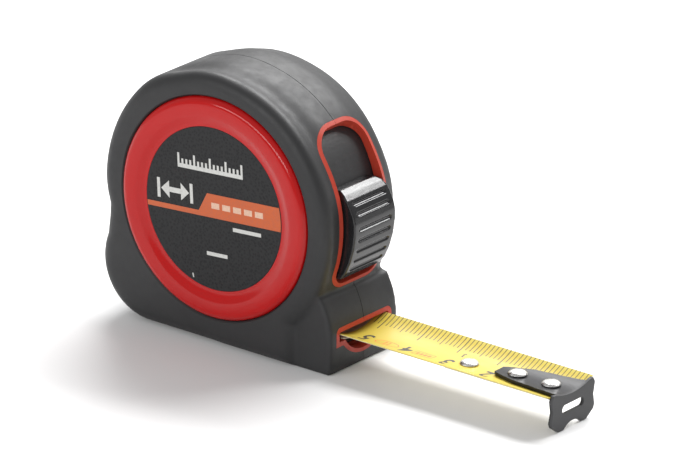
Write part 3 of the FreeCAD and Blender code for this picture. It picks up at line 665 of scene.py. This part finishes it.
def makeBezel():
    s = bezelShape
    bm = bmesh.new()
    outline = [(0, s["back"]), (s["outer"], s["back"]), *s["profile"], (s["seat"], s["deck"]),
               (0, s["deck"])]
    lathe(bm, [(r * mm, y * mm) for r, y in outline], s["steps"])
    ready(meshObject("bezelRing", bm, finishes["bezel_red"], 50), "case", "bezel_red", "front_bezel")
    bm = bmesh.new()
    radius, face, bend = s["labelRadius"], s["labelFace"], s["labelRound"]
    outline = [(0, s["deck"]), (radius, s["deck"]), (radius, face + bend), (radius - bend, face), (0, face)]
    lathe(bm, [(r * mm, y * mm) for r, y in outline], s["labelSteps"])
    ready(meshObject("labelDisc", bm, finishes["label_black"]), "case", "label_black", "front_label")


labelMarks = {
    # Each mark is an outline of (along, up) on the turned label, in millimetres from its centre.
    "lift": 0.02, "thick": 0.018, "rimGap": 0.12,
    "band": {"thinTop": -0.80, "thinLow": -1.87, "wideTop": 3.18, "step": -3.85, "stepTop": -1.5},
    "strip": {"left": -8.8, "right": 7.9, "low": 7.6, "bar": 0.85, "tick": 0.5, "short": 1.05, "long": 2.2,
              "count": 17, "every": 4, "sink": 0.01},
    "arrow": {"left": -14.4, "right": -5.2, "middle": 2.35, "half": 0.55, "head": 2.1, "wing": 1.85,
              "post": 0.75, "postHalf": 2.1, "gap": 0.25, "sink": 0.05},
    "dashes": {"left": -0.5, "right": 12.7, "middle": 0.75, "half": 0.62, "count": 5, "gap": 0.75},
    "lines": [(4.8, 12.0, -3.5, 0.4), (-2.2, 3.1, -9.65, 0.4)],
    "notch": [(-6.25, -14.6), (-5.95, -14.6), (-5.78, -15.5), (-6.08, -15.5)],
}


def labelPiece(name, outlines, material, layer=1):
    # Thin printed areas, turned with the label; a second layer lies on the first.
    turn = math.radians(bezelShape["turn"])
    face = (bezelShape["labelFace"] - labelMarks["lift"] * layer) * mm
    bm = bmesh.new()
    for outline in outlines:
        points = [((u * math.cos(turn) - v * math.sin(turn)) * mm, face,
                   axisHeight + (u * math.sin(turn) + v * math.cos(turn)) * mm) for u, v in outline]
        slab(bm, points, (0, labelMarks["thick"] * mm, 0))
    ready(meshObject(name, bm, material), "case", "label_black")


def rimArc(low, high, side, steps=8):
    # Points just inside the label's rim, from one height to another.
    radius = bezelShape["labelRadius"] - labelMarks["rimGap"]
    heights = [low + (high - low) * step / steps for step in range(steps + 1)]
    return [(side * math.sqrt(radius * radius - height * height), height) for height in heights]


def box(left, right, low, high):
    return [(left, low), (right, low), (right, high), (left, high)]


def bandOutline():
    s = labelMarks["band"]
    return [*rimArc(s["thinTop"], s["thinLow"], -1, 3), *rimArc(s["thinLow"], s["wideTop"], 1),
            (s["stepTop"], s["wideTop"]), (s["step"], s["thinTop"])]


def stripOutlines():
    # A short ruler: one bar with long and short ticks.
    s = labelMarks["strip"]
    barTop = s["low"] + s["bar"]
    marks = [box(s["left"], s["right"], s["low"], barTop)]
    for i in range(s["count"]):
        at = s["left"] + (s["right"] - s["left"] - s["tick"]) * i / (s["count"] - 1)
        rise = s["long"] if i % s["every"] == 0 else s["short"]
        marks.append(box(at, at + s["tick"], barTop - s["sink"], barTop + rise))
    return marks


def arrowOutlines():
    # A double arrow between two posts.
    s = labelMarks["arrow"]
    marks = []
    for end, side in ((s["left"], 1), (s["right"], -1)):
        post = sorted((end, end + side * s["post"]))
        marks.append(box(*post, s["middle"] - s["postHalf"], s["middle"] + s["postHalf"]))
        tip = end + side * (s["post"] + s["gap"])
        barb = tip + side * s["head"]
        marks.append([(tip, s["middle"]), (barb, s["middle"] - s["wing"]), (barb, s["middle"] + s["wing"])])
    inset = s["post"] + s["gap"] + s["head"] - s["sink"]
    low, high = s["middle"] - s["half"], s["middle"] + s["half"]
    marks.append(box(s["left"] + inset, s["right"] - inset, low, high))
    return marks


def dashOutlines():
    s = labelMarks["dashes"]
    step = (s["right"] - s["left"] + s["gap"]) / s["count"]
    lefts = [s["left"] + step * i for i in range(s["count"])]
    low, high = s["middle"] - s["half"], s["middle"] + s["half"]
    return [box(left, left + step - s["gap"], low, high) for left in lefts]


def makeLabelMarks():
    labelPiece("labelBand", [bandOutline()], ink["orange"])
    lines = [box(low, high, at - thick, at + thick) for low, high, at, thick in labelMarks["lines"]]
    labelPiece("labelPrint", [*stripOutlines(), *arrowOutlines(), *lines, labelMarks["notch"]], ink["white"])
    labelPiece("bandPrint", dashOutlines(), ink["pale"], 2)


makeBezel()
makeLabelMarks()
print("ring and label made")


def softCopy(nodeName, name, voxel, rounds):
    # The node's own shape with its edges worn round.
    return remeshed(mergedCopy(nodeName, name), voxel, rounds)


buttonShape = {
    "voxel": 0.13 * mm, "rounds": 4, "firstRounds": 6, "half": 6.7 * mm, "endRound": 2.6 * mm,
    # radius in millimetres and angle in degrees round the spool's axis, from the lower end to the upper one
    "face": [(25.4, -21.6), (28.2, -21.6), (29.2, -20.6), (29.8, -17.0), (30.25, -12.0), (30.62, -6.0),
             (30.85, 0.0), (30.9, 4.0), (30.6, 7.2), (30.0, 10.4), (29.4, 13.3), (28.6, 15.8), (27.4, 17.8),
             (25.4, 18.6)],
    "roundBelow": -21.1, "roundAbove": 15.8,
    "grooves": [11.6, 7.6, 1.6, -2.8, -7.2, -11.6, -16.0], "grooveRadius": 0.5 * mm, "grooveHalf": 4.9 * mm,
    "grooveSink": 0.06 * mm, "grooveSteps": 20, "gap": 0.42 * mm, "planStart": 24 * mm,
}


def faceRadius(angle):
    # How far the button's face stands from the axis at an angle.
    face = buttonShape["face"][1:-1]
    for (near, start), (far, end) in zip(face, face[1:]):
        if start <= angle <= end:
            return (near + (far - near) * (angle - start) / (end - start)) * mm


def buttonPlan():
    # The slot's own outline less a gap, brought from the top of the travel to where the button rests.
    s = buttonShape
    plan = slotCutter("buttonPlan", -s["gap"], s["planStart"])
    home = Matrix.Translation((0, 0, axisHeight))
    travel = math.radians(joints["lock_swing"]["range_deg"][1])
    plan.data.transform(home @ Matrix.Rotation(travel, 4, "Y") @ home.inverted())
    return plan


def grooveCutter():
    # Round-ended rods, laid across the face.
    s = buttonShape
    radius, half = s["grooveRadius"], s["grooveHalf"]
    profile = [(0, -half - radius), *[(u, v - half) for u, v in arc(radius, -75, 0, 15)],
               *[(u, v + half) for u, v in arc(radius, 0, 75, 15)], (0, half + radius)]
    bm = bmesh.new()
    for angle in s["grooves"]:
        lathe(bm, profile, s["grooveSteps"], polar(faceRadius(angle) + s["grooveSink"], angle))
    return meshObject("grooves", bm)


def makeButton():
    s = buttonShape
    bm = bmesh.new()
    slab(bm, [polar(radius * mm, angle, -s["half"]) for radius, angle in s["face"]], (0, s["half"] * 2, 0))
    ends = []
    for edge in bm.edges:
        a, b = (vert.co for vert in edge.verts)
        middle = (a + b) / 2
        angle = math.degrees(math.atan2(middle.z - axisHeight, middle.x))
        if abs(a.y - b.y) < tiny and (angle < s["roundBelow"] or angle > s["roundAbove"]):
            ends.append(edge)
    roundEdges(bm, ends, s["endRound"])
    button = joinShape(meshObject("thumbButton", bm), buttonPlan(), "INTERSECT")
    remeshed(button, s["voxel"], s["firstRounds"])
    joinShape(button, grooveCutter())
    remeshed(button, s["voxel"], s["rounds"])
    button.data.materials.append(finishes["button_black"])
    ready(button, "lock", "button_black", "lock_button")


makeButton()
ready(softCopy("lock_slide", "lockSlide", 0.2 * mm, 3), "lock", "slide_black", "lock_slide")
print("lock made")

bladeLow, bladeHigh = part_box("blade")
bladeShape = {
    "start": bladeLow.x, "end": bladeHigh.x, "half": bladeHigh.y, "thick": 0.25 * mm, "sag": 1.9 * mm,
    "under": bladeLow.z, "steps": 20, "lift": 0.012 * mm,
}
bladeBend = (bladeShape["half"] ** 2 + bladeShape["sag"] ** 2) / (bladeShape["sag"] * 2)


def bladeTop(y):
    return bladeShape["under"] + bladeBend - math.sqrt((bladeBend - bladeShape["thick"]) ** 2 - y * y)


def makeBlade():
    s = bladeShape
    bm = bmesh.new()
    spread = math.asin(s["half"] / bladeBend)
    angles = [spread * step / s["steps"] for step in range(-s["steps"], s["steps"] + 1)]
    low, high = (
        [(s["start"], bend * math.sin(a), s["under"] + bladeBend - bend * math.cos(a)) for a in angles]
        for bend in (bladeBend, bladeBend - s["thick"]))
    slab(bm, low + high[::-1], (s["end"] - s["start"], 0, 0))
    ready(meshObject("bladeStrip", bm, finishes["blade_yellow"], 40), "blade", "blade_yellow", "blade")


scaleShape = {
    "zero": hookEnd - joints["hook_float"]["range_m"][1], "ticks": 52, "tick": 0.17 * mm, "tenth": 1.25,
    "short": 3.4 * mm, "middle": 4.0 * mm, "long": 4.9 * mm, "edgeGap": 0.12 * mm, "cuts": 6,
    "numbers": range(2, 6), "size": 5.934 * mm, "narrow": 0.78, "across": -2.4 * mm, "aside": 1.35 * mm,
    "bold": 0.018, "curveStep": 0.12,
    "small": {"word": "3", "size": 1.9 * mm, "at": 28 * mm, "across": 2.6 * mm, "narrow": 0.85},
    # a long oval with two bars between 4 and 5, a plain box with four blocks between 3 and 4
    "oval": {"at": 43.6 * mm, "half": 2.75 * mm, "high": 1.35 * mm, "square": 0.8, "line": 0.2 * mm,
             "bars": (-0.45, 0.45), "barHalf": 0.16 * mm, "barHigh": 0.85 * mm},
    "frame": {"at": 34.4 * mm, "half": 2.3 * mm, "high": 1.2 * mm, "line": 0.18 * mm, "cuts": 6,
              "bars": (-1.45, -0.5, 0.45, 1.4), "barHalf": 0.3 * mm, "barHigh": 0.6 * mm},
}


def settled(bm, place=Matrix.Identity(4)):
    # Lays flat ink onto the hollow of the blade.
    for vert in bm.verts:
        vert.co = place @ vert.co
        vert.co.z += bladeTop(vert.co.y) + bladeShape["lift"]


def inkPiece(name, bm, material):
    ready(meshObject(name, bm, material), "blade", "blade_yellow")


def makeTicks():
    s = scaleShape
    edge = bladeShape["half"] - s["edgeGap"]
    bm = bmesh.new()
    for count in range(1, s["ticks"] + 1):
        reach = s["long"] if count % 10 == 0 else s["middle"] if count % 5 == 0 else s["short"]
        thick = s["tick"] * (s["tenth"] if count % 10 == 0 else 1)
        place = Matrix.Translation((s["zero"] - count * mm, edge - reach / 2, 0))
        bmesh.ops.create_grid(bm, x_segments=1, y_segments=s["cuts"], size=0.5,
                              matrix=place @ Matrix.Diagonal((thick, reach, 1, 1)))
    settled(bm)
    inkPiece("bladeTicks", bm, ink["black"])


def flatWord(word, size, x, y, narrow):
    # A word as a flat mesh, turned to be read from the hook's side, then laid on the blade.
    curve = bpy.data.curves.new("word", "FONT")
    curve.body = word
    curve.size = size
    curve.offset = size * scaleShape["bold"]
    curve.align_x = "CENTER"
    curve.align_y = "CENTER"
    carrier = bpy.data.objects.new("word", curve)
    bpy.context.scene.collection.objects.link(carrier)
    bpy.context.view_layer.update()
    data = bpy.data.meshes.new_from_object(carrier.evaluated_get(bpy.context.evaluated_depsgraph_get()))
    bpy.data.objects.remove(carrier)
    bm = bmesh.new()
    bm.from_mesh(data)
    bpy.data.meshes.remove(data)
    longEdges = [edge for edge in bm.edges if edge.calc_length() > size * scaleShape["curveStep"]]
    bmesh.ops.subdivide_edges(bm, edges=longEdges, cuts=2)
    bmesh.ops.triangulate(bm, faces=bm.faces)
    settled(bm, Matrix.Translation((x, y, 0)) @ Matrix.Rotation(math.pi, 4, "Z")
            @ Matrix.Diagonal((narrow, 1, 1, 1)))
    return bm


def joined(meshes):
    whole = bmesh.new()
    for part in meshes:
        data = bpy.data.meshes.new("part")
        part.to_mesh(data)
        part.free()
        whole.from_mesh(data)
        bpy.data.meshes.remove(data)
    return whole


def makeNumerals():
    s, small = scaleShape, scaleShape["small"]
    words = [flatWord(str(number), s["size"], s["zero"] - number * 10 * mm + s["aside"], s["across"],
                      s["narrow"]) for number in s["numbers"]]
    words.append(flatWord(small["word"], small["size"], s["zero"] - small["at"], small["across"],
                          small["narrow"]))
    inkPiece("bladeNumerals", joined(words), ink["black"])


def outlined(bm, points, thick):
    # A closed line of even width about a set of flat points.
    count = len(points)
    rings = []
    for i, point in enumerate(points):
        along = (Vector(points[(i + 1) % count]) - Vector(points[i - 1])).normalized()
        across = Vector((-along.y, along.x)) * thick / 2
        rings.append([bm.verts.new((*(Vector(point) + across * side), 0)) for side in (-1, 1)])
    for i in range(count):
        a, b = rings[i], rings[(i + 1) % count]
        bm.faces.new((a[0], b[0], b[1], a[1]))


def ovalPoints(middle, across, s):
    angles = [math.radians(degrees) for degrees in range(0, 360, 10)]
    return [(middle + s["half"] * math.copysign(abs(math.cos(a)) ** s["square"], math.cos(a)),
             across + s["high"] * math.sin(a)) for a in angles]


def framePoints(middle, across, s):
    corners = box(middle - s["half"], middle + s["half"], across - s["high"], across + s["high"])
    return [tuple(Vector(corner).lerp(Vector(after), step / s["cuts"]))
            for corner, after in zip(corners, corners[1:] + corners[:1]) for step in range(s["cuts"])]


def makeBoxes():
    bm = bmesh.new()
    across = scaleShape["across"]
    for s, pointsOf in ((scaleShape["oval"], ovalPoints), (scaleShape["frame"], framePoints)):
        middle = scaleShape["zero"] - s["at"]
        outlined(bm, pointsOf(middle, across, s), s["line"])
        for shift in s["bars"]:
            place = Matrix.Translation((middle + shift * mm, across, 0))
            bmesh.ops.create_grid(bm, x_segments=1, y_segments=1, size=1,
                                  matrix=place @ Matrix.Diagonal((s["barHalf"], s["barHigh"], 1, 1)))
    longEdges = [edge for edge in bm.edges if edge.calc_length() > 0.8 * mm]
    bmesh.ops.subdivide_edges(bm, edges=longEdges, cuts=2)
    bmesh.ops.triangulate(bm, faces=bm.faces)
    settled(bm)
    inkPiece("bladeBoxes", bm, ink["red"])


makeBlade()
makeTicks()
makeNumerals()
makeBoxes()
print("blade and scale made")

rivetShape = {
    "hookPlaces": (75.2 * mm, 67.0 * mm), "backPlaces": (55.1 * mm,), "radius": 1.95 * mm,
    "height": 0.75 * mm, "stem": 0.6, "clear": 0.02 * mm, "steps": 48,
    # the dome as shares of the radius with heights, from its top to its seat
    "dome": [(0, 0.75), (0.55, 0.70), (0.8, 0.55), (0.94, 0.35), (1, 0.16), (0.97, 0.04), (0.6, 0)],
    "footTop": 1.75 * mm, "footLow": 1.5 * mm, "footHigh": 0.35 * mm, "footSteps": 40,
}


def makeRivets():
    s = rivetShape
    for name, node, places in (("hookRivets", "hook_rivets", s["hookPlaces"]),
                               ("backingRivet", "backing_rivet", s["backPlaces"])):
        low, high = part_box(node)
        base = high.z - s["height"]
        stem = base - low.z - s["clear"]
        profile = [(s["radius"] * share, height * mm) for share, height in s["dome"]]
        profile += [(s["radius"] * s["stem"], -stem), (0, -stem)]
        bm = bmesh.new()
        for x in places:
            lathe(bm, profile, s["steps"], (x, 0, base), (0, 0, 1))
            foot = Matrix.Translation((x, 0, low.z + s["footHigh"] / 2))
            bmesh.ops.create_cone(bm, cap_ends=True, segments=s["footSteps"], radius1=s["footLow"],
                                  radius2=s["footTop"], depth=s["footHigh"], matrix=foot)
        ready(meshObject(name, bm, finishes["rivet_steel"], 28), "blade", "rivet_steel", node)


ready(softCopy("hook", "endHook", 0.11 * mm, 2), "hook", "hook_black", "hook")
makeRivets()
print("hook and rivets made")

ready(softCopy("belt_clip", "beltClip", 0.16 * mm, 4), "case", "clip_steel", "belt_clip")
ready(softCopy("clip_screw", "clipScrew", 0.09 * mm, 2), "case", "screw_steel", "clip_screw")
print("rear fittings made")

view = {
    # frameWidth is what the frame takes in at the target
    "azimuth": 36.897, "elevation": 21.182, "roll": 1.424, "distance": 1400 * mm, "frameWidth": 138.0 * mm,
    "targetX": 22.758 * mm, "targetZ": 26.364 * mm, "sensor": 36,
}


def makeCamera():
    azimuth, elevation, roll = (math.radians(view[key]) for key in ("azimuth", "elevation", "roll"))
    forward = Vector((-math.sin(azimuth) * math.cos(elevation), math.cos(azimuth) * math.cos(elevation),
                      -math.sin(elevation)))
    level = Vector((math.cos(azimuth), math.sin(azimuth), 0))
    upright = level.cross(forward)
    right = level * math.cos(roll) + upright * math.sin(roll)
    up = upright * math.cos(roll) - level * math.sin(roll)
    camera = bpy.data.objects.new("camera", bpy.data.cameras.new("camera"))
    bpy.context.scene.collection.objects.link(camera)
    turn = Matrix((right, up, -forward)).transposed().to_4x4()
    target = Vector((view["targetX"], 0, view["targetZ"]))
    camera.matrix_world = Matrix.Translation(target - forward * view["distance"]) @ turn
    camera.data.sensor_width = view["sensor"]
    camera.data.lens = view["sensor"] * view["distance"] / view["frameWidth"]
    camera.data.clip_start = 0.05
    camera.data.clip_end = 20
    bpy.context.scene.camera = camera


def makeFloor():
    bm = bmesh.new()
    bmesh.ops.create_grid(bm, x_segments=2, y_segments=2, size=3.0)
    finish = Finish("floorPaper", {"Roughness": 0.6})
    finish.feed("Base Color", finish.mix(finish.noise(4), (0.79, 0.79, 0.79), (0.81, 0.81, 0.81)))
    floor = meshObject("floor", bm, finish.material)
    floor.location.z = -0.02 * mm


studio = {
    "fill": 0.47, "middle": (0.02, 0, 0.03),
    # each lamp's place, width and height in metres, and its power
    "lamps": {"backStrip": ((-0.06, 0.62, 0.76), (1.1, 0.36), 19.0),
              "frontStrip": ((-0.05, -0.85, 0.42), (1.1, 0.16), 4.6),
              "backdrop": ((-0.6, 0.95, 0.40), (1.5, 0.35), 1.6)},
}


def softLight(name, place, size, power):
    lamp = bpy.data.lights.new(name, "AREA")
    lamp.shape = "RECTANGLE"
    lamp.size, lamp.size_y = size
    lamp.energy = power
    obj = bpy.data.objects.new(name, lamp)
    bpy.context.scene.collection.objects.link(obj)
    obj.location = place
    obj.rotation_mode = "QUATERNION"
    obj.rotation_quaternion = (Vector(studio["middle"]) - Vector(place)).to_track_quat("-Z", "Y")


def makeLights():
    world = bpy.data.worlds.new("studio")
    bpy.context.scene.world = world
    world.use_nodes = True
    background = world.node_tree.nodes["Background"]
    background.inputs["Color"].default_value = (1, 1, 1, 1)
    background.inputs["Strength"].default_value = studio["fill"]
    for name, settings in studio["lamps"].items():
        softLight(name, *settings)


makeCamera()
makeFloor()
makeLights()
bpy.context.scene.view_settings.view_transform = "Standard"
print("camera, floor and lights set")
